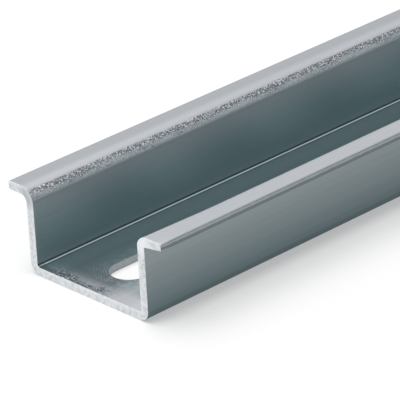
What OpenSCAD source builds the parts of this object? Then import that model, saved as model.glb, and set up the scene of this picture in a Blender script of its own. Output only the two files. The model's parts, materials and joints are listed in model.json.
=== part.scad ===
// Top-hat mounting rail, 35 mm wide and 15 mm deep, roll-formed from one strip of
// zinc-plated steel and punched with a row of long slots down the middle of its base.
// The rail lies along X with its open side up, and its origin is the middle of its underside.

/* [Rail] */
// Length of the piece of stock
rail_length = 250; // [100:5:2000]
// Overall width across the two lips
rail_width = 35; // [33:0.5:45]
// Overall height, from the underside of the base to the top of the lips
rail_height = 15; // [8:0.5:25]
// Width of the channel over the outsides of its two walls
channel_width = 27; // [22:0.5:29]
// Thickness of the strip
sheet_thickness = 1.5; // [1:0.1:2.3]

/* [Bends and edges] */
// Inside radius of the bend from a wall out into its lip
lip_bend_r = 1.2; // [0.4:0.1:2]
// Inside radius of the bend from the base up into a wall
base_bend_r = 0.5; // [0.3:0.1:2]
// Rounding of the slit edges along the lips
slit_edge_r = 0.2; // [0.1:0.05:0.4]

/* [Slots] */
// Length of a slot over its round ends
slot_length = 14; // [10:0.5:18]
// Width of a slot
slot_width = 7; // [4:0.1:9.5]
// Distance from one slot to the next
slot_pitch = 25; // [20:1:50]

/* [Hidden] */
$fn = 96;

// Outer radii, once the strip has gone round each bend
lip_bend_outer_r = lip_bend_r + sheet_thickness;
base_bend_outer_r = base_bend_r + sheet_thickness;

// Half widths, from the middle plane of the rail
wall_outside = channel_width / 2;
lip_edge = rail_width / 2;

// The row of slots is centred, so both ends of the rail keep the same margin
slot_count = floor(rail_length / slot_pitch);
slot_row_length = (slot_count - 1) * slot_pitch;

// How far a punch reaches past each face of the sheet
punch_overrun = 1;

// A quarter of a bend around the origin, in the quadrant that the two signs point into
module bend_quarter(inner_r, sign_x, sign_y) {
    outer_r = inner_r + sheet_thickness;
    intersection() {
        difference() {
            circle(r = outer_r);
            circle(r = inner_r);
        }
        translate([min(0, sign_x * outer_r), min(0, sign_y * outer_r)])
            square(outer_r);
    }
}

// The flat of a lip, as far as its slit edge, which is rounded above and below
module lip_flat() {
    flat_start = wall_outside + lip_bend_r;
    translate([flat_start, rail_height - sheet_thickness])
        difference() {
            square([lip_edge - flat_start, sheet_thickness]);
            translate([lip_edge - flat_start - slit_edge_r, 0])
                difference() {
                    square([slit_edge_r, sheet_thickness]);
                    translate([0, slit_edge_r]) {
                        circle(r = slit_edge_r);
                        square([slit_edge_r, sheet_thickness - 2 * slit_edge_r]);
                    }
                    translate([0, sheet_thickness - slit_edge_r])
                        circle(r = slit_edge_r);
                }
        }
}

// Half of the section: base, bend, wall, bend and lip
module half_section() {
    square([wall_outside - base_bend_outer_r, sheet_thickness]);
    translate([wall_outside - base_bend_outer_r, base_bend_outer_r])
        bend_quarter(base_bend_r, 1, -1);
    translate([wall_outside - sheet_thickness, base_bend_outer_r])
        square([sheet_thickness, rail_height - base_bend_outer_r - lip_bend_outer_r]);
    translate([wall_outside + lip_bend_r, rail_height - lip_bend_outer_r])
        bend_quarter(lip_bend_r, -1, 1);
    lip_flat();
}

module rail_section() {
    half_section();
    mirror([1, 0])
        half_section();
}

// The section drawn out to the length of the stock, centred along X
module formed_strip() {
    translate([-rail_length / 2, 0, 0])
        rotate([90, 0, 90])
            linear_extrude(height = rail_length)
                rail_section();
}

// One punched slot: two round ends and the straight between them
module slot_outline() {
    end_centre = (slot_length - slot_width) / 2;
    for (side = [-1, 1])
        translate([side * end_centre, 0])
            circle(d = slot_width);
    square([2 * end_centre, slot_width], center = true);
}

module slot_row() {
    for (i = [0 : slot_count - 1])
        translate([i * slot_pitch - slot_row_length / 2, 0, -punch_overrun])
            linear_extrude(height = sheet_thickness + 2 * punch_overrun)
                slot_outline();
}

module rail() {
    color("lightslategray")
        difference() {
            formed_strip();
            slot_row();
        }
}

rail();
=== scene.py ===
"""A slotted top-hat mounting rail: its formed and punched sheet, its zinc finish, and its studio."""

import json
import math
from typing import NamedTuple

import bmesh
import bpy
from bpy.props import FloatProperty, FloatVectorProperty, PointerProperty
from mathutils import Euler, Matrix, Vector, noise


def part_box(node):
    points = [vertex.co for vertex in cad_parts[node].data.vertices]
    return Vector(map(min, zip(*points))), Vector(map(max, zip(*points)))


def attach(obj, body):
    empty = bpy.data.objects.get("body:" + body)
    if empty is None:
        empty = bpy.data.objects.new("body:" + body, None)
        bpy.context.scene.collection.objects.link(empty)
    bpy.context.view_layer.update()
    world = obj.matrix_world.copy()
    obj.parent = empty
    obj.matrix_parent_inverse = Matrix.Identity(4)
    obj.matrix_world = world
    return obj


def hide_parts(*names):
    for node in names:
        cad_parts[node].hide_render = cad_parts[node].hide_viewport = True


bl_info = {
    "name": "Top-hat Mounting Rail",
    "version": (1, 0, 0),
    "blender": (4, 5, 0),
    "location": "3D View > Sidebar > Rail",
    "description": "Forms, punches and finishes a slotted mounting rail, and sets up its studio",
    "category": "Add Mesh",
}

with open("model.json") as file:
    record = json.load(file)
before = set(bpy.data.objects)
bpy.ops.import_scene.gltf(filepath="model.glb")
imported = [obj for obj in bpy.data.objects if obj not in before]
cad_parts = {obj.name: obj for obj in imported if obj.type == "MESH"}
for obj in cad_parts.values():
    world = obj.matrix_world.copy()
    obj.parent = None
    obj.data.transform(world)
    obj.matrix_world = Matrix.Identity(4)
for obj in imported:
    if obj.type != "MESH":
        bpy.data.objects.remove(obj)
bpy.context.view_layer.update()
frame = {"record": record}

MM = 0.001

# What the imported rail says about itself
RAIL_LOW, RAIL_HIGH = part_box("rail")
SLOT_PAIRS = [m for m in frame["record"]["mounts"] if m["kind"] == "bolt_pattern"]
SLOT_R = SLOT_PAIRS[0]["dims"]["hole_r_mm"] * MM
SLOT_LENGTH = SLOT_PAIRS[0]["dims"]["slot_length_mm"] * MM
SHEET = SLOT_PAIRS[0]["pos_m"][2]
SLOT_CENTRES = sorted(
    m["pos_m"][0] + side * m["dims"]["spacing_x_mm"] * MM / 2 for m in SLOT_PAIRS for side in (-1, 1)
)


# ---------------------------------------------------------------- settings


def linear(hex_colour):
    """An sRGB hex colour as linear values."""
    channels = [int(hex_colour[i : i + 2], 16) / 255 for i in (1, 3, 5)]
    return tuple(c / 12.92 if c <= 0.04045 else ((c + 0.055) / 1.055) ** 2.4 for c in channels)


def length(name, description, default_mm, low_mm, high_mm):
    """A setting for a length, with its default and limits in millimetres."""
    return FloatProperty(
        name=name, description=description, default=default_mm * MM, min=low_mm * MM, max=high_mm * MM,
        unit="LENGTH", subtype="DISTANCE", precision=5,
    )


def colour(name, description, hex_colour):
    """A setting for a colour, with its default in sRGB hex."""
    return FloatVectorProperty(
        name=name, description=description, default=linear(hex_colour), min=0, max=1, size=3, subtype="COLOR",
    )


def level(name, description, default, **settings):
    """A setting for a share, a strength or a power, from 0 up."""
    return FloatProperty(name=name, description=description, default=default, min=0, **settings)


class RailForm(bpy.types.PropertyGroup):
    """Sizes of the formed sheet that its outer box doesn't give"""

    channel_width: length("Channel width", "Width over the outsides of the two walls", 27, 20, 30)
    lip_bend_r: length("Lip bend", "Inside radius of the bend from a wall out into its lip", 1.2, 0.3, 2)
    base_bend_r: length("Base bend", "Inside radius of the bend from the base up into a wall", 0.5, 0.2, 2)
    slit_edge_r: length("Slit edge", "Rounding of the slit edges along the lips", 0.2, 0.05, 0.4)
    cut_edge_r: length("Cut edge", "Rounding that deburring leaves round each cut end", 0.05, 0.02, 0.3)
    rollover_r: length("Rollover", "Rounding that the punch draws down round a slot", 0.1, 0.02, 0.4)
    breakout: length("Break-out", "How far the torn lower part of a slot's wall opens out", 0.06, 0, 0.2)


class RailFinish(bpy.types.PropertyGroup):
    """Colours of the plating and of the bare cuts"""

    # Painted shade: the first colour is the plating's bluish passivation, made darker low in the channel and on
    # the base as painted shade; the second is the lighter plating higher up, where that painted shade fades
    zinc_blue_and_channel_shade: colour("Deep zinc", "Plating low in the channel, where it is bluest", "#91A7AB")
    zinc_high_in_channel: colour("Thin zinc", "Plating high in the channel, under a thin passivation", "#A7B1B6")
    # Painted shade: the first colour is darker plating outside beside the base, as painted shade; the second is
    # the lighter end of that gradient up under the lips
    outer_low_shaded: colour("Outside, low", "Plating outside beside the base, dulled by handling", "#6C7D81")
    outer_high: colour("Outside, high", "Plating outside the channel under the lips", "#9AA2A5")
    # Painted light: the lips' worn plating colour is also painted on the base near the ends and along its near
    # side
    zinc_lip_and_lit_base: colour("Lip zinc", "Plating on the lips, worn clean by what is clipped on", "#9B9DA1")
    # Painted highlight: this bright plating is painted round the lip bends and on the near lip, and is the
    # polish at the foot of the walls and on the slit edges
    zinc_highlight_and_polish: colour("Polished zinc", "Plating that the rolls rub bright along the bends", "#AFB1B5")
    # Painted highlight: the pale colour of the burnished line in the corners of the base
    zinc_burnished_highlight: colour("Burnished zinc", "Plating pressed smooth in the corners of the base", "#B7C7CB")
    # Pale plating for rubbed flecks, lines and the ridge, and for painted light on the near corner beside each
    # cut
    zinc_rubbed_and_lit: colour("Rubbed zinc", "Plating that the shear and the stripper rub pale", "#C3C4C9")
    # Painted shade: this dark colour is painted beside the base's corners; it also darkens the base along its
    # middle, and marks the lip bends and the chatter strokes
    stain_and_shade: colour("Stain", "Passivation that gathers beside the corners and along the base", "#4A5A5E")
    craze: colour("Crazing", "Ground that shows between the grains of stretched plating", "#555A5F")
    cut_steel: colour("Cut steel", "Bare steel of the cut ends", "#E1E4E7")
    cut_shade: colour("Cut shade", "Hollows in the cut ends", "#C4C9CD")
    cut_torn: colour("Torn cut", "Cut ends round the far bend, where the shear tears them", "#B9C0C3")
    # Painted highlight: the pale rim colour is also painted on the near bend of each cut end
    cut_rim_and_highlight: colour("Cut rim", "Cut ends beside the channel, where deburring rubs them", "#F4F6F7")
    slit_steel: colour("Slit edge", "Edges that were slit before plating", "#979FA2")
    slit_shade: colour("Slit shade", "Torn part of the slit and punched edges", "#6E787B")
    punched_steel: colour("Punched wall", "Walls of the punched slots", "#A6A9AC")


class RailStudio(bpy.types.PropertyGroup):
    """The light and the floor"""

    floor: colour("Floor", "Colour of the floor", "#F2F2F2")
    contact_glow: level("White at the base", "Share of plain white in the floor beside the base", 0.27, max=1)
    floor_glow: level("White round the rail", "Share of plain white in the floor round the rail", 0.5, max=1)
    world_strength: level("Room light", "Strength of the even light all round", 0.6)
    key_power: level("Key light", "Power of the soft lamp high behind the rail", 7.0, unit="POWER")
    back_power: level("Back light", "Power of the long lamp behind the rail", 0.8, unit="POWER")


# ---------------------------------------------------------------- the section

# Steps that the bends, the edges and the flats are drawn with
LIP_BEND_STEPS = 14
BASE_BEND_STEPS = 20
EDGE_STEPS = 4
THICKNESS_STEPS = 6
BASE_STEPS = 8
WALL_STEPS = 8
LIP_STEPS = 5

# Round a corner of the base: how far its burnished line, which carries a painted highlight, leans towards the
# base, where the line sets in and is full, and where the painted shade beside it does. The foot of the wall is
# polished by half.
BURNISH_LEAN = 0.7
BURNISH_BEGINS = (0.85, 0.97)
CORNER_SHADE_BEGINS = (0, 0.3)
FOOT_POLISH = 0.5

# Round the bend of a lip, as shares of its quarter turn from the wall: where each finish is 0 and where it is
# full. The crazing starts weaker than it gets, and the bright band, a painted highlight, loses most of its
# strength towards the lip.
CRAZE_BEGINS, CRAZE_DEEPENS, CRAZE_ENDS = (0.12, 0.2), (0.3, 0.42), (0.66, 0.56)
CRAZE_AT_FIRST = 0.6
HIGHLIGHT_BEGINS, HIGHLIGHT_FADES = (0.52, 0.6), (0.7, 1.0)
HIGHLIGHT_LOST = 0.85
BEND_STAIN = 0.3
BEND_STAIN_BEGINS, BEND_STAIN_ENDS = (0.02, 0.1), (0.22, 0.14)
WEAR_BEGINS = (0.5, 0.8)

# The rolls leave one lip slightly tilted: its bend lies this much lower than its slit edge
LIP_TILTED = 0.18 * MM
# The shear leaves its marks on the same lip. Close to a cut it presses the lip thinner at its tip, thicker at
# its root, and its slit edge down and in. From further off it tightens the bend, to a sharp corner below.
LIP_REACH = 2.4 * MM
TIP_PRESSED = 0.35 * MM
TIP_LOWERED = 0.2 * MM
ROOT_THICKENED = 0.23 * MM
EDGE_DRAWN_IN = 0.15 * MM
BEND_REACH = 14 * MM
BEND_TIGHTENED = 0.7 * MM


class Station(NamedTuple):
    """A place across the sheet, and how the sheet is finished there"""

    y: float
    z: float
    # The way through the sheet towards its channel side, and half its thickness
    normal_y: float
    normal_z: float
    half: float
    # Shares on the channel side: worn as the lips are, stretched by a bend, made brighter by a painted
    # highlight round a lip's bend and by polish at the foot of a wall and on the slit edges, burnished along
    # the middle of a corner with a painted highlight, darker beside that by painted shade, and stained round a
    # lip's bend
    lip: float = 0.0
    stretched: float = 0.0
    polished: float = 0.0
    burnished: float = 0.0
    stained: float = 0.0
    # How far the shear can move the channel side and the other side here, as (y, z), how far from the cut that
    # starts, and how far a tilted lip is lowered
    sheared: tuple = (0.0, 0.0)
    sheared_below: tuple = (0.0, 0.0)
    reach: float = LIP_REACH
    lowered: float = 0.0


def ramp(value, low, high):
    """0 at low and 1 at high, straight between them."""
    return min(1.0, max(0.0, (value - low) / (high - low)))


def base_stations(form):
    """Stations from the middle of the base to the foot of a wall."""
    half = SHEET / 2
    base_half = form.channel_width / 2 - SHEET - form.base_bend_r
    mid_r = form.base_bend_r + half
    stations = [Station(base_half * i / BASE_STEPS, half, 0, 1, half) for i in range(BASE_STEPS)]
    for i in range(BASE_BEND_STEPS + 1):
        share = i / BASE_BEND_STEPS
        turn = math.pi / 2 * share
        # A painted highlight along the middle of the corner, and painted shade beside it
        bent = math.sin(math.pi * share ** BURNISH_LEAN)
        burnished = ramp(bent, *BURNISH_BEGINS)
        stations.append(Station(
            base_half + mid_r * math.sin(turn), form.base_bend_r + SHEET - mid_r * math.cos(turn),
            -math.sin(turn), math.cos(turn), half,
            polished=FOOT_POLISH if i == BASE_BEND_STEPS else 0.0,
            burnished=burnished, stained=ramp(bent, *CORNER_SHADE_BEGINS) * (1 - burnished),
        ))
    return stations


def pressed_up(form, y):
    """How far the shear moves the underside of the lip up: down at its root, and up towards its tip."""
    share = ramp(y, form.channel_width / 2, RAIL_HIGH.y)
    return TIP_PRESSED * share - ROOT_THICKENED * (1 - share)


def lip_bend_station(form, share):
    """The station at this share of the quarter turn from a wall out into its lip."""
    half = SHEET / 2
    mid_r, outer_r = form.lip_bend_r + half, form.lip_bend_r + SHEET
    centre_y, centre_z = form.channel_width / 2 + form.lip_bend_r, RAIL_HIGH.z - outer_r
    across, up = math.cos(math.pi / 2 * share), math.sin(math.pi / 2 * share)
    crazing = CRAZE_AT_FIRST + (1 - CRAZE_AT_FIRST) * ramp(share, *CRAZE_DEEPENS)
    # From the bend's centre, the corner that its two flats would make is this many times further off
    to_corner = 1 / max(across, up)
    squared = min(BEND_TIGHTENED * (across + up - 1), outer_r * (to_corner - 1))
    filled = form.lip_bend_r * (to_corner - 1)
    pressed = pressed_up(form, centre_y - form.lip_bend_r * across * to_corner)
    return Station(
        centre_y - mid_r * across, centre_z + mid_r * up, -across, up, half,
        lip=ramp(share, *WEAR_BEGINS),
        stretched=ramp(share, *CRAZE_BEGINS) * crazing * ramp(share, *CRAZE_ENDS),
        # Painted highlight: the bright band round the lip's bend
        polished=ramp(share, *HIGHLIGHT_BEGINS) * (1 - HIGHLIGHT_LOST * ramp(share, *HIGHLIGHT_FADES)),
        stained=BEND_STAIN * ramp(share, *BEND_STAIN_BEGINS) * ramp(share, *BEND_STAIN_ENDS),
        sheared=(-across * squared, up * squared),
        sheared_below=(-across * filled, up * (filled + pressed * to_corner)),
        reach=BEND_REACH, lowered=LIP_TILTED * up * to_corner,
    )


def lip_stations(form):
    """Stations over the flat of a lip and its slit edge."""
    half = SHEET / 2
    z = RAIL_HIGH.z - half
    flat_start = form.channel_width / 2 + form.lip_bend_r
    flat_end = RAIL_HIGH.y - form.slit_edge_r
    stations = []
    for i in range(1, LIP_STEPS):
        share = i / LIP_STEPS
        y = flat_start + (flat_end - flat_start) * share
        stations.append(Station(
            y, z, 0, 1, half, lip=1, sheared=(0, -TIP_LOWERED * share),
            sheared_below=(0, pressed_up(form, y) - TIP_LOWERED * share), lowered=LIP_TILTED * (1 - share),
        ))
    for i in range(EDGE_STEPS + 1):
        turn = math.pi / 2 * i / EDGE_STEPS
        narrowed = half - form.slit_edge_r * (1 - math.cos(turn))
        y = flat_end + form.slit_edge_r * math.sin(turn)
        stations.append(Station(
            y, z, 0, 1, narrowed, lip=1, polished=math.sin(turn), sheared=(-EDGE_DRAWN_IN, -TIP_LOWERED),
            sheared_below=(-EDGE_DRAWN_IN, pressed_up(form, y) - TIP_LOWERED),
        ))
    return stations


def section_stations(form):
    """Stations across the whole sheet, from one slit edge to the other."""
    foot_z = form.base_bend_r + SHEET
    wall_height = RAIL_HIGH.z - form.lip_bend_r - SHEET - foot_z
    wall_middle = (form.channel_width - SHEET) / 2
    half = base_stations(form)
    for i in range(1, WALL_STEPS):
        half.append(Station(wall_middle, foot_z + wall_height * i / WALL_STEPS, -1, 0, SHEET / 2))
    half += [lip_bend_station(form, i / LIP_BEND_STEPS) for i in range(LIP_BEND_STEPS + 1)]
    half += lip_stations(form)
    return [s._replace(y=-s.y, normal_y=-s.normal_y) for s in reversed(half[1:])] + half


# ---------------------------------------------------------------- the formed and punched sheet

# Steps along a slot's side, which the rail's length between two slots is drawn with too, and round its end
SLOT_SIDE_STEPS = 12
SLOT_END_STEPS = 2 * BASE_STEPS

# How strongly the steps along the first and the last cell are crowded towards the cuts
CROWDING = 1.7

# The size of the dips in a cut end, and their depth
DIP_SIZE = 0.9 * MM
DIP_DEPTH = 0.015 * MM

# The torn part of a slot's wall: heights as shares of the sheet's thickness, and how far it opens out there
TORN_WALL = ((0.45, 0), (0.36, 0.6), (0.05, 1), (0, 1.6))

# The finishes of the faces, in the order of the rail's materials
ZINC, SLIT, CUT, PUNCHED = range(4)


def along_stations(form, cells):
    """(x, inset) along the rail: its rounded ends, and steps along the cells that hold the slots."""
    r = form.cut_edge_r
    turns = [math.pi / 2 * i / EDGE_STEPS for i in range(EDGE_STEPS)]
    start = [(RAIL_LOW.x + r * (1 - math.cos(turn)), r * (1 - math.sin(turn))) for turn in turns]
    middle = []
    last = len(cells) - 2
    for cell, (low, high) in enumerate(zip(cells, cells[1:])):
        for i in range(SLOT_SIDE_STEPS):
            share = i / SLOT_SIDE_STEPS
            if cell == 0:
                share = share ** CROWDING
            elif cell == last:
                share = 1 - (1 - share) ** CROWDING
            middle.append((low + (high - low) * share, 0.0))
    middle.append((cells[-1], 0.0))
    end = [(-x, inset) for x, inset in reversed(start)]
    return start + middle + end


class RailMesh:
    """The sheet as a box of stations: i along the rail, j across the sheet and t through its thickness."""

    # Shares of a finish that each vertex carries for the zinc's material
    FINISH_MASKS = ("lip", "outside", "stretched", "polished", "burnished", "stained")

    def __init__(self, form):
        self.form = form
        r = form.cut_edge_r
        between = [(a + b) / 2 for a, b in zip(SLOT_CENTRES, SLOT_CENTRES[1:])]
        self.cells = [RAIL_LOW.x + r, *between, RAIL_HIGH.x - r]
        self.across = section_stations(form)
        self.along = along_stations(form, self.cells)
        self.middle = len(self.across) // 2
        self.mesh = bmesh.new()
        self.masks = [self.mesh.verts.layers.float.new(name) for name in self.FINISH_MASKS]
        self.points = {}

    def add(self, place, masks):
        """A new vertex with its shares of the finishes."""
        vertex = self.mesh.verts.new(place)
        for layer, value in zip(self.masks, masks):
            vertex[layer] = value
        return vertex

    def point(self, i, j, t):
        """The vertex at a station, made the first time that it is asked for."""
        key = (i, j, t)
        if key not in self.points:
            x, inset = self.along[i]
            station = self.across[j]
            depth = t / THICKNESS_STEPS
            y, z = station.y, station.z
            if j in (0, len(self.across) - 1):
                y -= math.copysign(inset, y)
            if i in (0, len(self.along) - 1) and 0 < t < THICKNESS_STEPS:
                x -= math.copysign(self.dip(y, z, t), x)
            if station.y < 0:
                y, z = self.worked(station, x, y, z, depth)
            through = (station.half - inset) * (1 - 2 * depth)
            place = (x, y + station.normal_y * through, z + station.normal_z * through)
            masks = [
                depth if name == "outside" else (1 - depth) * getattr(station, name)
                for name in self.FINISH_MASKS
            ]
            self.points[key] = self.add(place, masks)
        return self.points[key]

    def worked(self, station, x, y, z, depth):
        """A place on the near side's sheet, moved as the rolls and the shear move it."""
        beside_cut = ramp(abs(x), RAIL_HIGH.x - station.reach, RAIL_HIGH.x)
        y -= beside_cut * (station.sheared[0] * (1 - depth) + station.sheared_below[0] * depth)
        z += beside_cut * (station.sheared[1] * (1 - depth) + station.sheared_below[1] * depth)
        return y, z - station.lowered

    def dip(self, y, z, t):
        """How far the cut end dips at this place."""
        grain = noise.noise(Vector((y / DIP_SIZE, z / DIP_SIZE, t)))
        return DIP_DEPTH * (1 + grain)

    def face(self, corners, finish):
        """A new smooth face with one of the finishes."""
        made = self.mesh.faces.new(corners)
        made.material_index = finish
        made.smooth = True
        return made

    def skin(self):
        """The channel side, the underside, the slit edges and the cut ends."""
        last_i, last_j, last_t = len(self.along) - 1, len(self.across) - 1, THICKNESS_STEPS
        base = range(self.middle - BASE_STEPS, self.middle + BASE_STEPS)
        cell_rows = range(EDGE_STEPS, last_i - EDGE_STEPS)
        p = self.point
        for i in range(last_i):
            finish = ZINC if i in cell_rows else CUT
            for j in range(last_j):
                if i in cell_rows and j in base:
                    continue
                self.face([p(i, j, 0), p(i + 1, j, 0), p(i + 1, j + 1, 0), p(i, j + 1, 0)], finish)
                self.face([
                    p(i, j, last_t), p(i, j + 1, last_t), p(i + 1, j + 1, last_t), p(i + 1, j, last_t),
                ], finish)
            for t in range(last_t):
                self.face([p(i, 0, t), p(i, 0, t + 1), p(i + 1, 0, t + 1), p(i + 1, 0, t)], SLIT)
                self.face([
                    p(i, last_j, t), p(i + 1, last_j, t), p(i + 1, last_j, t + 1), p(i, last_j, t + 1),
                ], SLIT)
        for j in range(last_j):
            for t in range(last_t):
                self.face([p(0, j, t), p(0, j + 1, t), p(0, j + 1, t + 1), p(0, j, t + 1)], CUT)
                self.face([
                    p(last_i, j, t), p(last_i, j, t + 1), p(last_i, j + 1, t + 1), p(last_i, j + 1, t),
                ], CUT)

    def cell_border(self, cell, t):
        """The vertices round one cell of the base, anticlockwise from its corner at low x and low y."""
        first_i = EDGE_STEPS + cell * SLOT_SIDE_STEPS
        last_i = first_i + SLOT_SIDE_STEPS
        first_j = self.middle - BASE_STEPS
        last_j = self.middle + BASE_STEPS
        border = [self.point(i, first_j, t) for i in range(first_i, last_i)]
        border += [self.point(last_i, j, t) for j in range(first_j, last_j)]
        border += [self.point(i, last_j, t) for i in range(last_i, first_i, -1)]
        border += [self.point(first_i, j, t) for j in range(last_j, first_j, -1)]
        return border

    def slot_ring(self, centre_x, grow, z):
        """Vertices round a slot's outline, grown by a margin, in step with the border of its cell."""
        straight = SLOT_LENGTH / 2 - SLOT_R
        r = SLOT_R + grow
        masks = [1 - z / SHEET if name == "outside" else 0.0 for name in self.FINISH_MASKS]
        ring = []
        for side in (-1, 1):
            for i in range(SLOT_SIDE_STEPS):
                x = side * straight * (1 - 2 * i / SLOT_SIDE_STEPS)
                ring.append(self.add((centre_x + x, side * r, z), masks))
            for i in range(SLOT_END_STEPS):
                turn = -math.pi / 2 + math.pi * i / SLOT_END_STEPS
                x, y = straight + r * math.cos(turn), r * math.sin(turn)
                ring.append(self.add((centre_x - side * x, -side * y, z), masks))
        return ring

    def join(self, outer, inner, finish):
        """Faces between two rings with as many vertices each."""
        count = len(outer)
        for k in range(count):
            n = (k + 1) % count
            self.face([outer[k], outer[n], inner[n], inner[k]], finish)

    def slots(self):
        """Each slot in its cell of the base: rollover at the top, a clean cut below, then the torn part."""
        rollover = self.form.rollover_r
        turns = [math.pi / 2 * i / EDGE_STEPS for i in range(EDGE_STEPS + 1)]
        for cell, x in enumerate(SLOT_CENTRES):
            rings = [(ZINC, self.slot_ring(x, 2 * rollover, SHEET))]
            for turn in turns:
                grow, drop = rollover * (1 - math.sin(turn)), rollover * (1 - math.cos(turn))
                rings.append((ZINC, self.slot_ring(x, grow, SHEET - drop)))
            rings += [
                (PUNCHED, self.slot_ring(x, self.form.breakout * opened, SHEET * height))
                for height, opened in TORN_WALL
            ]
            outer = self.cell_border(cell, 0)
            for finish, ring in rings:
                self.join(outer, ring, finish)
                outer = ring
            self.join(outer, self.cell_border(cell, THICKNESS_STEPS), ZINC)

    def object(self, name):
        """The whole sheet as an object in the scene."""
        self.skin()
        self.slots()
        data = bpy.data.meshes.new(name)
        self.mesh.to_mesh(data)
        self.mesh.free()
        piece = bpy.data.objects.new(name, data)
        bpy.context.scene.collection.objects.link(piece)
        return piece


# ---------------------------------------------------------------- finishes

# The kinds of node that are used most
MATH, VECTOR_MATH, RANGE = "ShaderNodeMath", "ShaderNodeVectorMath", "ShaderNodeMapRange"
MIX, NOISE, SEPARATE = "ShaderNodeMix", "ShaderNodeTexNoise", "ShaderNodeSeparateXYZ"
ATTRIBUTE, BUMP = "ShaderNodeAttribute", "ShaderNodeBump"
PRINCIPLED, OUTPUT = "ShaderNodeBsdfPrincipled", "ShaderNodeOutputMaterial"

# Where a mix has its inputs: its factor, its two colours, or its two values
FACTOR, FIRST, SECOND = 0, 6, 7
FIRST_VALUE, SECOND_VALUE = 2, 3

# The end and the top of the rail, in millimetres
END, TOP = RAIL_HIGH.x / MM, RAIL_HIGH.z / MM

# Zones of wear, of painted light and of darker tone, each as two distances in millimetres and its share at
# each. Between them it goes straight from
# one to the other, and past them it stays even. These are measured back from a cut end:
ALONG_ZONES = {
    # The last of the base, brightened by painted light from the open end
    "handled": (8.0, 2.5, 0.0, 1.0),
    # Where the shear's chatter breaks the plating up and rubs a ridge pale
    "chattered": (3.0, 1.3, 0.0, 1.0),
    # Where painted light makes the near corner pale, beside the cut
    "pressed": (4.6, 2.4, 0.0, 1.0),
    # The base's darker tone, which is weaker beside the cut
    "stain_held": (1.5, 4.0, 0.6, 1.0),
    # The dark line beside the cut
    "darkened": (1.5, 0.4, 0.0, 0.6),
}
# And these across the rail, from its middle plane to the far side:
ACROSS_ZONES = {
    # Painted light on the base at the ends, short of the far wall, and all along the near side
    "handled_middle": (10.0, 1.0, 0.0, 1.0),
    "handled_side": (-1.0, -5.0, 0.0, 0.65),
    # Chatter, short of the far wall and of the near corner
    "short_of_wall": (10.0, 7.5, 0.25, 1.0),
    "short_of_corner": (-4.5, -1.5, 0.0, 1.0),
    # The base's darker tone: weaker by the far wall, gone on the near side of the middle, and back by the near
    # wall
    "far_stain": (11.5, 7.2, 0.28, 0.76),
    "middle_stain": (-6.0, -1.5, 0.0, 1.0),
    "near_stain": (-5.5, -10.0, 0.0, 0.6),
    # The near corner lit by painted light, and the ridge
    "near_corner": (-1.5, -10.0, 0.0, 0.7),
    "ridge": (6.0, 1.0, 0.0, 0.38),
    # The near lip, brightened by painted light
    "near_lip": (-12.5, -14.0, 0.0, 0.55),
}

# The lines round a slot, in millimetres: how far apart, how far they reach, how far they stray, their gaps
MARK_SPACING, MARK_REACH, MARK_WANDER, MARK_GAP = 0.46, 4.4, 1.6, 1.3
# How often they stray in a millimetre, the share of their reach where they start to fade, and their strength
MARK_WAVES = 0.35
MARK_FADES = 0.4
MARK_STRENGTH = 0.6

# How deep these lines are beside the crazing
MARK_RELIEF = 0.5

# Shares of the rail's height between which the painted shade low in the channel fades inside, and the walls get
# brighter outside as the painted shade low outside fades
SHADE_FADES_BETWEEN = (0.51, 0.82)
BRIGHTENS_BETWEEN = (0.1, 0.8)
# How much clouds in the plating's tone change that, and how high the base reaches, in thicknesses of the sheet
CLOUDING = 0.08
BASE_BELOW = (1.4, 1.1)

# The lines that the rolls leave: how much stronger a scratch is than a bundle, and how dark they are
SCRATCH_STRENGTH = 5.0
ROLLED_DARKNESS = 0.035
# How much of their passivation the lips keep in places
UNWORN = 0.12
# How ragged the edge of the crazing is, and how much it opens the ground between the grains
CRAZE_RAGGED = 0.35
CRAZE_OPENS = 0.25

# Parts of a cut end, each as where its finish starts and where it is full, in millimetres: its far half, the
# height of the upper bends, and how far the near bend and the far one reach across
FAR_HALF = (0.0, 1.0)
BEND_HEIGHT = (11.0, 12.6)
NEAR_BEND = (-15.2, -13.8)
FAR_BEND = (15.2, 14.0)
# How strongly the near bend of a cut end is painted pale, as a painted highlight
BEND_HIGHLIGHT = 0.7
# How far the edge of the rim wavers, as a share of the sheet's thickness
RIM_WAVERS = 0.3

# The smooth band of a slit edge: its depth as a share of the sheet's thickness, and how far its edges waver
SMOOTH_DEPTH = 0.28
SMOOTH_WAVERS = 0.25


def add_node(tree, kind, inputs=None, **settings):
    """Adds a node with its settings, and gives each input a value or the socket that feeds it.

    What comes back is the node's first output in use.
    """
    node = tree.nodes.new(kind)
    for name, value in settings.items():
        setattr(node, name, value)
    for place, value in (inputs or {}).items():
        if isinstance(value, bpy.types.NodeSocket):
            tree.links.new(value, node.inputs[place])
        else:
            node.inputs[place].default_value = value
    return next((output for output in node.outputs if output.enabled), None)


def new_material(name):
    """A material with its node tree cleared, and a place on the rail in millimetres."""
    material = bpy.data.materials.new(name)
    material.use_nodes = True
    tree = material.node_tree
    tree.nodes.clear()
    metres = add_node(tree, "ShaderNodeTexCoord").node.outputs["Object"]
    place = add_node(tree, VECTOR_MATH, {0: metres, 1: (1 / MM, 1 / MM, 1 / MM)}, operation="MULTIPLY")
    return material, tree, place


def marks(tree, place, size_mm, least, most, detail=2.0, gain=0.5):
    """Irregular marks of this size along x, y and z: 0 where the noise is under least, and 1 over most."""
    scaled = add_node(tree, VECTOR_MATH, {0: place, 1: tuple(1 / s for s in size_mm)}, operation="MULTIPLY")
    height = add_node(tree, NOISE, {"Vector": scaled, "Scale": 1.0, "Detail": detail, "Roughness": gain})
    return add_node(tree, RANGE, {"Value": height, "From Min": least, "From Max": most})


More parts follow.
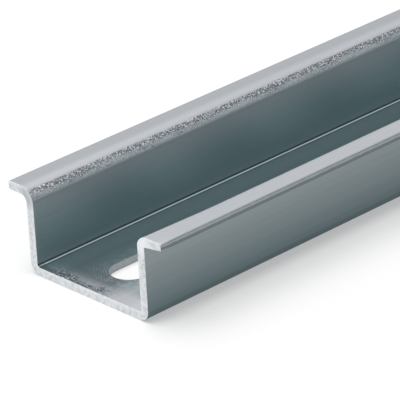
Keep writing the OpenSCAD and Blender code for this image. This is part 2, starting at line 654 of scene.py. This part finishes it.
def slot_marks(tree, place, along, across):
    """Fine curved lines round each slot, where the stripper held the sheet while the punch drew back."""
    pitch = (SLOT_CENTRES[1] - SLOT_CENTRES[0]) / MM
    slot_r, straight = SLOT_R / MM, (SLOT_LENGTH / 2 - SLOT_R) / MM
    from_first = add_node(tree, MATH, {0: along, 1: SLOT_CENTRES[0] / MM}, operation="SUBTRACT")
    from_slot = add_node(tree, MATH, {0: from_first, 1: pitch / 2, 2: -pitch / 2}, operation="WRAP")
    from_slot = add_node(tree, MATH, {0: from_slot}, operation="ABSOLUTE")
    past_straight = add_node(tree, MATH, {0: from_slot, 1: straight}, operation="SUBTRACT")
    past_straight = add_node(tree, MATH, {0: past_straight, 1: 0.0}, operation="MAXIMUM")
    from_centre = add_node(tree, "ShaderNodeCombineXYZ", {0: past_straight, 1: across})
    from_centre = add_node(tree, VECTOR_MATH, {0: from_centre}, operation="LENGTH").node.outputs["Value"]

    wander = add_node(tree, NOISE, {"Vector": place, "Scale": MARK_WAVES, "Detail": 1.0})
    bent = add_node(tree, MATH, {0: wander, 1: MARK_WANDER, 2: from_centre}, operation="MULTIPLY_ADD")
    ripple = add_node(tree, MATH, {0: bent, 1: math.tau / MARK_SPACING}, operation="MULTIPLY")
    ripple = add_node(tree, MATH, {0: ripple}, operation="SINE")
    lines = add_node(tree, RANGE, {"Value": ripple, "From Min": 0.35, "From Max": 0.95})
    shown = add_node(tree, RANGE, {
        "Value": from_centre, "From Min": slot_r + MARK_REACH, "From Max": slot_r + MARK_FADES * MARK_REACH,
    })
    broken = marks(tree, place, (MARK_GAP, MARK_GAP, MARK_GAP), least=0.45, most=0.58, detail=3)
    # They are stronger on the near side of the slots
    harder = add_node(tree, RANGE, {"Value": across, "From Min": 5.0, "From Max": 0.0, "To Min": 0.25})
    for share in (broken, harder, lines):
        shown = add_node(tree, MATH, {0: shown, 1: share}, operation="MULTIPLY")
    return shown


def wall_colour(tree, finish, place, up, outside):
    """Zinc of the walls. Inside, painted shade darkens it low in the channel and fades towards the lips, in
    clouds some centimetres long. Outside, painted shade darkens it towards the base.
    """
    clouds = marks(tree, place, (46, 13, 13), least=0.3, most=0.7)
    low, high = (share * TOP for share in SHADE_FADES_BETWEEN)
    # Painted shade: inside, the walls and the base are darker low in the channel, fading towards the lips
    unshaded = add_node(tree, RANGE, {"Value": up, "From Min": low, "From Max": high})
    unshaded = add_node(tree, MATH, {0: clouds, 1: CLOUDING, 2: unshaded}, operation="MULTIPLY_ADD")
    inner = add_node(tree, MIX, {
        FACTOR: unshaded, FIRST: (*finish.zinc_blue_and_channel_shade, 1), SECOND: (*finish.zinc_high_in_channel, 1),
    }, data_type="RGBA")
    # Painted shade: outside, the walls are darker towards the base and lighter up under the lips
    low, high = (share * TOP for share in BRIGHTENS_BETWEEN)
    height = add_node(tree, RANGE, {"Value": up, "From Min": low, "From Max": high})
    outer = add_node(tree, MIX, {
        FACTOR: height, FIRST: (*finish.outer_low_shaded, 1), SECOND: (*finish.outer_high, 1),
    }, data_type="RGBA")
    return add_node(tree, MIX, {FACTOR: outside, FIRST: inner, SECOND: outer}, data_type="RGBA")


def zone_shares(tree, along, across):
    """The share of every zone of wear, painted light and darker tone at a place, by the zone's name."""
    from_middle = add_node(tree, MATH, {0: along}, operation="ABSOLUTE")
    edges = {name: (from_middle, END - a, END - b, *shares) for name, (a, b, *shares) in ALONG_ZONES.items()}
    edges |= {name: (across, *zone) for name, zone in ACROSS_ZONES.items()}
    sockets = ("Value", "From Min", "From Max", "To Min", "To Max")
    return {name: add_node(tree, RANGE, dict(zip(sockets, edge))) for name, edge in edges.items()}


def base_wear_and_light(tree, place, zone, on_base):
    """Shares on the base: painted light near the ends and along the near side, broken up by chatter, a darker
    tone, pale (painted light at the near corner, and a rubbed ridge) and a dark line beside the cut.
    """
    # Painted light: the base is lighter near each cut end, short of the far wall, and all along its near side
    painted_light = add_node(tree, MATH, {0: zone["handled"], 1: zone["handled_middle"]}, operation="MULTIPLY")
    painted_light = add_node(tree, MATH, {0: painted_light, 1: zone["handled_side"]}, operation="MAXIMUM")
    painted_light = add_node(tree, MATH, {0: painted_light, 1: on_base}, operation="MULTIPLY")

    patches = marks(tree, place, (3, 4, 3), least=0.34, most=0.52)
    chatter = zone["chattered"]
    for share in (on_base, patches, zone["short_of_wall"], zone["short_of_corner"]):
        chatter = add_node(tree, MATH, {0: chatter, 1: share}, operation="MULTIPLY")

    # The base is darker along its middle, weaker by the far wall and beside the cut, gone on the near side of
    # the middle, and back by the near wall
    stained = add_node(tree, MATH, {0: zone["middle_stain"], 1: zone["near_stain"]}, operation="MAXIMUM")
    for share in (zone["far_stain"], zone["stain_held"], on_base):
        stained = add_node(tree, MATH, {0: stained, 1: share}, operation="MULTIPLY")

    # Painted light on the near corner beside the cut, and a pale rubbed ridge
    corner = add_node(tree, MATH, {0: zone["pressed"], 1: zone["near_corner"]}, operation="MULTIPLY")
    ridge = add_node(tree, MATH, {0: zone["chattered"], 1: zone["ridge"]}, operation="MULTIPLY")
    pale = add_node(tree, MATH, {0: corner, 1: ridge}, operation="MAXIMUM")
    pale = add_node(tree, MATH, {0: pale, 1: on_base}, operation="MULTIPLY")

    dark = add_node(tree, MATH, {0: on_base, 1: pale}, operation="SUBTRACT", use_clamp=True)
    for share in (zone["darkened"], zone["short_of_corner"]):
        dark = add_node(tree, MATH, {0: dark, 1: share}, operation="MULTIPLY")
    return painted_light, chatter, stained, pale, dark


def crazing(tree, place, stretched, chatter):
    """Shares of what breaks the plating up where it is stretched or chattered.

    Dark ground shows in cracks of about a quarter of a millimetre between bright grains, and over it lie pale
    flecks and dark strokes.
    """
    ragged = marks(tree, place, (3.5, 1.0, 1.0), least=0.35, most=0.65, detail=3)
    ragged = add_node(tree, MATH, {0: ragged, 1: CRAZE_RAGGED, 2: stretched}, operation="MULTIPLY_ADD")
    stretched = add_node(tree, RANGE, {"Value": ragged, "From Min": 0.35, "From Max": 1.1})
    broken_up = add_node(tree, MATH, {0: stretched, 1: chatter}, operation="MAXIMUM")

    contrast = add_node(tree, RANGE, {"Value": chatter, "To Min": 0.82, "To Max": 0.86})
    grains = add_node(tree, NOISE, {"Vector": place, "Scale": 5.0, "Detail": 3.0, "Roughness": 0.7})
    grains = add_node(tree, MATH, {0: broken_up, 1: CRAZE_OPENS, 2: grains}, operation="MULTIPLY_ADD")
    ground = add_node(tree, RANGE, {"Value": grains, "From Min": 0.54, "From Max": contrast})
    ground = add_node(tree, MATH, {0: ground, 1: broken_up}, operation="MULTIPLY")

    flecks = marks(tree, place, (0.25, 0.4, 0.25), least=0.52, most=0.6, detail=2)
    flecks = add_node(tree, MATH, {0: flecks, 1: broken_up}, operation="MULTIPLY")
    strokes = marks(tree, place, (0.3, 1.1, 1.0), least=0.5, most=0.58)
    strokes = add_node(tree, MATH, {0: strokes, 1: chatter}, operation="MULTIPLY")
    return ground, flecks, strokes


def zinc_material(finish):
    """Electroplated zinc under a thin blue passivation, over cold-rolled strip.

    It is a satin metal that mirrors its surroundings softly, bluish under its passivation. Painted shade makes
    it darker low in the channel and on the base, and it is lighter and greyer towards the lips, where it wears.
    The forming rolls leave faint lines along the strip and craze the plating where they stretch it round the
    lips. The corners of the base are burnished smoother, with a painted highlight along them and painted shade
    beside it. Painted highlights brighten the lip bends and the near lip, and painted light brightens the base
    beside each end and along its near side. The shear that cuts the length chatters across the base beside each
    end.
    """
    material, tree, place = new_material("zinc_plated_steel")
    lip, outside, stretched, polished, burnished, stained = (
        add_node(tree, ATTRIBUTE, attribute_name=name).node.outputs["Fac"] for name in RailMesh.FINISH_MASKS
    )
    along, across, up = add_node(tree, SEPARATE, {0: place}).node.outputs
    walls = wall_colour(tree, finish, place, up, outside)

    high, low = (thicknesses * SHEET / MM for thicknesses in BASE_BELOW)
    inside = add_node(tree, MATH, {0: 1.0, 1: outside}, operation="SUBTRACT")
    on_base = add_node(tree, RANGE, {"Value": up, "From Min": high, "From Max": low})
    on_base = add_node(tree, MATH, {0: on_base, 1: inside}, operation="MULTIPLY")
    zone = zone_shares(tree, along, across)
    painted_light, chatter, base_darker, pale, dark = base_wear_and_light(tree, place, zone, on_base)
    # The lips' worn plating, and painted light on the base near the ends and along its near side, share one
    # colour
    bare = add_node(tree, MATH, {0: lip, 1: painted_light}, operation="MAXIMUM")
    # Painted shade beside the base's corners, together with the darker tone round the lip bends and along the
    # base
    darkening = add_node(tree, MATH, {0: stained, 1: base_darker}, operation="MAXIMUM")
    # Painted light: the near lip is brighter
    near_lip = add_node(tree, MATH, {0: zone["near_lip"], 1: lip}, operation="MULTIPLY")
    polished = add_node(tree, MATH, {0: polished, 1: near_lip}, operation="MAXIMUM")

    # Rolling lines are some hundredths of a millimetre wide. To show, they are drawn in bundles, half a
    # millimetre wide.
    bundles = marks(tree, place, (110, 0.6, 0.6), least=0.3, most=0.7, detail=3)
    scratches = marks(tree, place, (26, 0.3, 0.3), least=0.73, most=0.78, detail=1)
    rolled = add_node(tree, MATH, {0: scratches, 1: SCRATCH_STRENGTH, 2: bundles}, operation="MULTIPLY_ADD")
    rolled = add_node(tree, MATH, {0: rolled, 1: ROLLED_DARKNESS}, operation="MULTIPLY")
    unworn = marks(tree, place, (2.5, 0.5, 0.5), least=0.3, most=0.7, detail=3)
    unworn = add_node(tree, MATH, {0: unworn, 1: lip}, operation="MULTIPLY")
    unworn = add_node(tree, MATH, {0: unworn, 1: UNWORN}, operation="MULTIPLY")

    ground, flecks, strokes = crazing(tree, place, stretched, chatter)
    curved = slot_marks(tree, place, along, across)
    curved = add_node(tree, MATH, {0: curved, 1: on_base}, operation="MULTIPLY")
    scuffs = add_node(tree, MATH, {0: curved, 1: MARK_STRENGTH}, operation="MULTIPLY")

    plating = walls
    for share, over in (
        (bare, finish.zinc_lip_and_lit_base), (polished, finish.zinc_highlight_and_polish), (burnished, finish.zinc_burnished_highlight),
        (darkening, finish.stain_and_shade), (pale, finish.zinc_rubbed_and_lit), (dark, finish.craze),
        (rolled, (0, 0, 0)), (unworn, finish.zinc_blue_and_channel_shade), (ground, finish.craze),
        (flecks, finish.zinc_rubbed_and_lit), (strokes, finish.stain_and_shade), (scuffs, finish.zinc_rubbed_and_lit),
    ):
        plating = add_node(tree, MIX, {FACTOR: share, FIRST: plating, SECOND: (*over, 1)}, data_type="RGBA")
    roughness = add_node(tree, RANGE, {"Value": bundles, "To Min": 0.54, "To Max": 0.58})
    # The burnished corner line is smoother, and its pale colour is a painted highlight
    roughness = add_node(tree, MIX, {
        FACTOR: burnished, FIRST_VALUE: roughness, SECOND_VALUE: 0.10,
    }, data_type="FLOAT")
    hollows = add_node(tree, MATH, {0: curved, 1: MARK_RELIEF, 2: ground}, operation="MULTIPLY_ADD")
    relief = add_node(tree, BUMP, {"Strength": 0.8, "Distance": 0.04 * MM, "Height": hollows}, invert=True)
    shader = add_node(tree, PRINCIPLED, {
        "Base Color": plating, "Metallic": 1.0, "Roughness": roughness, "Normal": relief,
    })
    add_node(tree, OUTPUT, {"Surface": shader})
    return material


def cut_material(finish):
    """Sheared and brushed mild steel, bare and pale. Its rim beside the channel is brighter than its mottled
    middle, and the near bend is brighter still with a painted highlight. The far bend is torn.
    """
    material, tree, place = new_material("sheared_steel")
    depth = add_node(tree, ATTRIBUTE, attribute_name="outside").node.outputs["Fac"]
    _, across, up = add_node(tree, SEPARATE, {0: place}).node.outputs
    high, far, near_bend, far_bend = (
        add_node(tree, RANGE, {"Value": value, "From Min": starts, "From Max": full})
        for value, (starts, full) in (
            (up, BEND_HEIGHT), (across, FAR_HALF), (across, NEAR_BEND), (across, FAR_BEND),
        )
    )
    near = add_node(tree, MATH, {0: 1.0, 1: far}, operation="SUBTRACT")
    # Painted highlight on the near bend of the cut end
    pressed = add_node(tree, MATH, {0: near_bend, 1: BEND_HIGHLIGHT}, operation="MULTIPLY")
    for share in (near, high):
        pressed = add_node(tree, MATH, {0: pressed, 1: share}, operation="MULTIPLY")
    torn = far_bend
    for share in (far, high):
        torn = add_node(tree, MATH, {0: torn, 1: share}, operation="MULTIPLY")

    waver = add_node(tree, NOISE, {"Vector": place, "Scale": 0.9, "Detail": 2.0})
    wavered = add_node(tree, MATH, {0: waver, 1: RIM_WAVERS, 2: depth}, operation="MULTIPLY_ADD")
    rim = add_node(tree, RANGE, {"Value": wavered, "From Min": 0.65, "From Max": 0.30, "To Max": 0.25})
    rim = add_node(tree, MATH, {0: rim, 1: pressed}, operation="MAXIMUM")
    mottle = marks(tree, place, (0.9, 0.7, 0.7), least=0.42, most=0.68, detail=4, gain=0.6)
    steel = (*finish.cut_steel, 1)
    for share, over in ((mottle, finish.cut_shade), (torn, finish.cut_torn), (rim, finish.cut_rim_and_highlight)):
        steel = add_node(tree, MIX, {FACTOR: share, FIRST: steel, SECOND: (*over, 1)}, data_type="RGBA")
    relief = add_node(tree, BUMP, {"Strength": 0.5, "Distance": 0.03 * MM, "Height": mottle}, invert=True)
    shader = add_node(tree, PRINCIPLED, {
        "Base Color": steel, "Metallic": 0.5, "Roughness": 0.55, "Normal": relief,
    })
    add_node(tree, OUTPUT, {"Surface": shader})
    return material


def slit_material(finish):
    """Edge of the strip, slit by cutters and plated with the rest: a smooth band between two torn ones."""
    material, tree, place = new_material("slit_edge")
    depth = add_node(tree, ATTRIBUTE, attribute_name="outside").node.outputs["Fac"]
    from_band = add_node(tree, MATH, {0: depth, 1: SMOOTH_DEPTH}, operation="SUBTRACT")
    from_band = add_node(tree, MATH, {0: from_band}, operation="ABSOLUTE")
    waver = add_node(tree, NOISE, {"Vector": place, "Scale": 0.8, "Detail": 3.0})
    wavered = add_node(tree, MATH, {0: waver, 1: SMOOTH_WAVERS, 2: from_band}, operation="MULTIPLY_ADD")
    torn = add_node(tree, RANGE, {"Value": wavered, "From Min": 0.25, "From Max": 0.34})
    pits = marks(tree, place, (0.7, 0.25, 0.2), least=0.4, most=0.65, detail=3, gain=0.6)
    shade = add_node(tree, MIX, {
        FACTOR: torn, FIRST: (*finish.slit_steel, 1), SECOND: (*finish.slit_shade, 1),
    }, data_type="RGBA")
    pitted = add_node(tree, MATH, {0: torn, 1: pits}, operation="MULTIPLY")
    relief = add_node(tree, BUMP, {"Strength": 0.5, "Distance": 0.03 * MM, "Height": pitted}, invert=True)
    shader = add_node(tree, PRINCIPLED, {
        "Base Color": shade, "Metallic": 1.0, "Roughness": 0.42, "Normal": relief,
    })
    add_node(tree, OUTPUT, {"Surface": shader})
    return material


def punched_material(finish):
    """Wall of a punched slot: the punch burnishes it in faint upright lines, and it is plated thinly."""
    material, tree, place = new_material("punched_wall")
    drawn = marks(tree, place, (0.3, 0.3, 1.6), least=0.5, most=1.2, detail=3, gain=0.6)
    shade = add_node(tree, MIX, {
        FACTOR: drawn, FIRST: (*finish.punched_steel, 1), SECOND: (*finish.slit_shade, 1),
    }, data_type="RGBA")
    relief = add_node(tree, BUMP, {"Strength": 0.2, "Distance": 0.02 * MM, "Height": drawn})
    shader = add_node(tree, PRINCIPLED, {
        "Base Color": shade, "Metallic": 1.0, "Roughness": 0.5, "Normal": relief,
    })
    add_node(tree, OUTPUT, {"Surface": shader})
    return material


class OBJECT_OT_make_rail(bpy.types.Operator):
    """Form the rail's sheet, punch its slots and give it its zinc finish"""

    bl_idname = "object.make_rail"
    bl_label = "Rail"
    bl_options = {"REGISTER", "UNDO"}

    def execute(self, context):
        form, finish = context.scene.rail_form, context.scene.rail_finish
        rail = RailMesh(form).object("formed_rail")
        for material in (zinc_material, slit_material, cut_material, punched_material):
            rail.data.materials.append(material(finish))
        rail.modifiers.new("flat faces stay flat", "WEIGHTED_NORMAL").keep_sharp = True
        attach(rail, "root")
        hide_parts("rail")
        return {"FINISHED"}


# ---------------------------------------------------------------- studio

FLOOR_SIZE = 8.0
# How far from the base its shadow is deep, and how far it shows at all
CONTACT_REACH = 3 * MM
SHADOW_REACH = 40 * MM
# The floor is all plain white at this many times the shadow's reach
WHITE_REACH = 4

# The lamps round the near end, at this distance: width and height in metres, azimuth and elevation
LAMP_DISTANCE = 1.0
KEY_LAMP = ((0.7, 0.7), -150, 76)
BACK_LAMP = ((1.2, 0.4), 137, 38)

# Where the camera looks, from the near end of the rail and its middle plane, and from where
AIM_FROM_END = 25.2 * MM
AIM_ASIDE = 0.6 * MM
VIEW_AZIMUTH = -42.7
VIEW_ELEVATION = 25.5
VIEW_ROLL = -3.17
VIEW_DISTANCE = 581.4 * MM
LENS = 327.7
# What the camera can see, in metres
SEEN_FROM, SEEN_TO = 0.01, 50


def seen_directly(tree):
    """1 for the rays that show a surface, straight or in a reflection, and 0 for those that light others."""
    path = add_node(tree, "ShaderNodeLightPath").node.outputs
    shown = add_node(tree, MATH, {0: path["Is Camera Ray"], 1: path["Is Glossy Ray"]}, operation="MAXIMUM")
    return add_node(tree, MATH, {0: shown, 1: path["Is Transmission Ray"]}, operation="MAXIMUM")


def floor_material(studio, channel_width):
    """Matt white board. A share of what is seen of it is plain white: a small part beside the rail's base,
    more round it, which leaves a shadow, and all of it further away.
    """
    material, tree, place = new_material("white_board")
    outline = (RAIL_HIGH.x / MM, channel_width / 2 / MM, 0)
    past = add_node(tree, VECTOR_MATH, {0: place}, operation="ABSOLUTE")
    past = add_node(tree, VECTOR_MATH, {0: past, 1: outline}, operation="SUBTRACT")
    past_end, past_wall, _ = add_node(tree, SEPARATE, {0: past}).node.outputs
    from_outline = add_node(tree, MATH, {0: past_end, 1: past_wall}, operation="MAXIMUM")
    from_outline = add_node(tree, MATH, {0: from_outline}, operation="ABSOLUTE")
    close_by = add_node(tree, RANGE, {
        "Value": from_outline, "From Max": CONTACT_REACH / MM,
        "To Min": studio.contact_glow, "To Max": studio.floor_glow,
    })
    far_off = add_node(tree, RANGE, {
        "Value": from_outline, "From Min": SHADOW_REACH / MM, "From Max": WHITE_REACH * SHADOW_REACH / MM,
    })
    white_share = add_node(tree, MATH, {0: close_by, 1: far_off}, operation="MAXIMUM")
    board = add_node(tree, "ShaderNodeBsdfDiffuse", {"Color": (*studio.floor, 1)})
    white = add_node(tree, "ShaderNodeEmission", {"Color": (1, 1, 1, 1), "Strength": 1.0})
    share = add_node(tree, MATH, {0: seen_directly(tree), 1: white_share}, operation="MULTIPLY")
    mixed = add_node(tree, "ShaderNodeMixShader", {0: share, 1: board, 2: white})
    add_node(tree, OUTPUT, {"Surface": mixed})
    return material


def direction(azimuth, elevation):
    """Unit vector towards a place at this azimuth (0 is -Y, 90 is +X) and elevation, in degrees."""
    a, e = math.radians(azimuth), math.radians(elevation)
    return Vector((math.sin(a) * math.cos(e), -math.cos(a) * math.cos(e), math.sin(e)))


def lay_floor(studio, channel_width):
    """The floor, level with the rail's underside."""
    data = bpy.data.meshes.new("floor")
    reach = FLOOR_SIZE / 2
    corners = [(-reach, -reach, 0), (reach, -reach, 0), (reach, reach, 0), (-reach, reach, 0)]
    data.from_pydata(corners, [], [(0, 1, 2, 3)])
    data.materials.append(floor_material(studio, channel_width))
    floor = bpy.data.objects.new("floor", data)
    floor.location.z = RAIL_LOW.z
    bpy.context.scene.collection.objects.link(floor)


def soft_lamp(name, power, size, azimuth, elevation):
    """A rectangular soft lamp that faces the near end of the rail."""
    near_end = Vector((RAIL_LOW.x + AIM_FROM_END, 0, RAIL_HIGH.z / 2))
    back = direction(azimuth, elevation)
    data = bpy.data.lights.new(name, "AREA")
    data.shape = "RECTANGLE"
    data.size, data.size_y = size
    data.energy = power
    lamp = bpy.data.objects.new(name, data)
    lamp.location = near_end + back * LAMP_DISTANCE
    lamp.rotation_euler = (-back).to_track_quat("-Z", "Y").to_euler()
    bpy.context.scene.collection.objects.link(lamp)


def light_room(strength):
    """Even light all round, which is plain white where it is seen."""
    world = bpy.data.worlds.new("white_room")
    bpy.context.scene.world = world
    world.use_nodes = True
    tree = world.node_tree
    tree.nodes.clear()
    seen = add_node(tree, RANGE, {"Value": seen_directly(tree), "To Min": strength, "To Max": 1.0})
    room = add_node(tree, "ShaderNodeBackground", {"Color": (1, 1, 1, 1), "Strength": seen})
    add_node(tree, "ShaderNodeOutputWorld", {"Surface": room})


def place_camera():
    """A long lens over the near end of the rail, looking along it from its open side."""
    aim = Vector((RAIL_LOW.x + AIM_FROM_END, AIM_ASIDE, RAIL_HIGH.z / 2))
    back = direction(VIEW_AZIMUTH, VIEW_ELEVATION)
    camera = bpy.data.objects.new("camera", bpy.data.cameras.new("camera"))
    camera.data.lens = LENS
    camera.data.clip_start, camera.data.clip_end = SEEN_FROM, SEEN_TO
    camera.location = aim + back * VIEW_DISTANCE
    unrolled = (-back).to_track_quat("-Z", "Y")
    camera.rotation_euler = (unrolled @ Euler((0, 0, math.radians(VIEW_ROLL))).to_quaternion()).to_euler()
    bpy.context.scene.collection.objects.link(camera)
    bpy.context.scene.camera = camera


class SCENE_OT_set_rail_studio(bpy.types.Operator):
    """Lay the white floor and set up the soft lamps, the room light and the camera"""

    bl_idname = "scene.set_rail_studio"
    bl_label = "Studio"
    bl_options = {"REGISTER", "UNDO"}

    def execute(self, context):
        studio = context.scene.rail_studio
        lay_floor(studio, context.scene.rail_form.channel_width)
        soft_lamp("key_lamp", studio.key_power, *KEY_LAMP)
        soft_lamp("back_lamp", studio.back_power, *BACK_LAMP)
        light_room(studio.world_strength)
        place_camera()
        context.scene.view_settings.view_transform = "Standard"
        return {"FINISHED"}


class VIEW3D_PT_rail(bpy.types.Panel):
    """Buttons and settings for the rail and its studio"""

    bl_label = "Mounting Rail"
    bl_idname = "VIEW3D_PT_rail"
    bl_space_type = "VIEW_3D"
    bl_region_type = "UI"
    bl_category = "Rail"

    def draw(self, context):
        layout = self.layout
        for title, group, operator in (
            ("Sheet", context.scene.rail_form, None),
            ("Finish", context.scene.rail_finish, OBJECT_OT_make_rail),
            ("Studio", context.scene.rail_studio, SCENE_OT_set_rail_studio),
        ):
            box = layout.box()
            box.label(text=title)
            for name in group.__annotations__:
                box.prop(group, name)
            if operator:
                box.operator(operator.bl_idname)


CLASSES = (RailForm, RailFinish, RailStudio, OBJECT_OT_make_rail, SCENE_OT_set_rail_studio, VIEW3D_PT_rail)


def register():
    for cls in CLASSES:
        bpy.utils.register_class(cls)
    bpy.types.Scene.rail_form = PointerProperty(type=RailForm)
    bpy.types.Scene.rail_finish = PointerProperty(type=RailFinish)
    bpy.types.Scene.rail_studio = PointerProperty(type=RailStudio)


def unregister():
    del bpy.types.Scene.rail_form, bpy.types.Scene.rail_finish, bpy.types.Scene.rail_studio
    for cls in reversed(CLASSES):
        bpy.utils.unregister_class(cls)


def main():
    register()
    bpy.ops.object.make_rail()
    bpy.ops.scene.set_rail_studio()


if __name__ == "__main__":
    main()
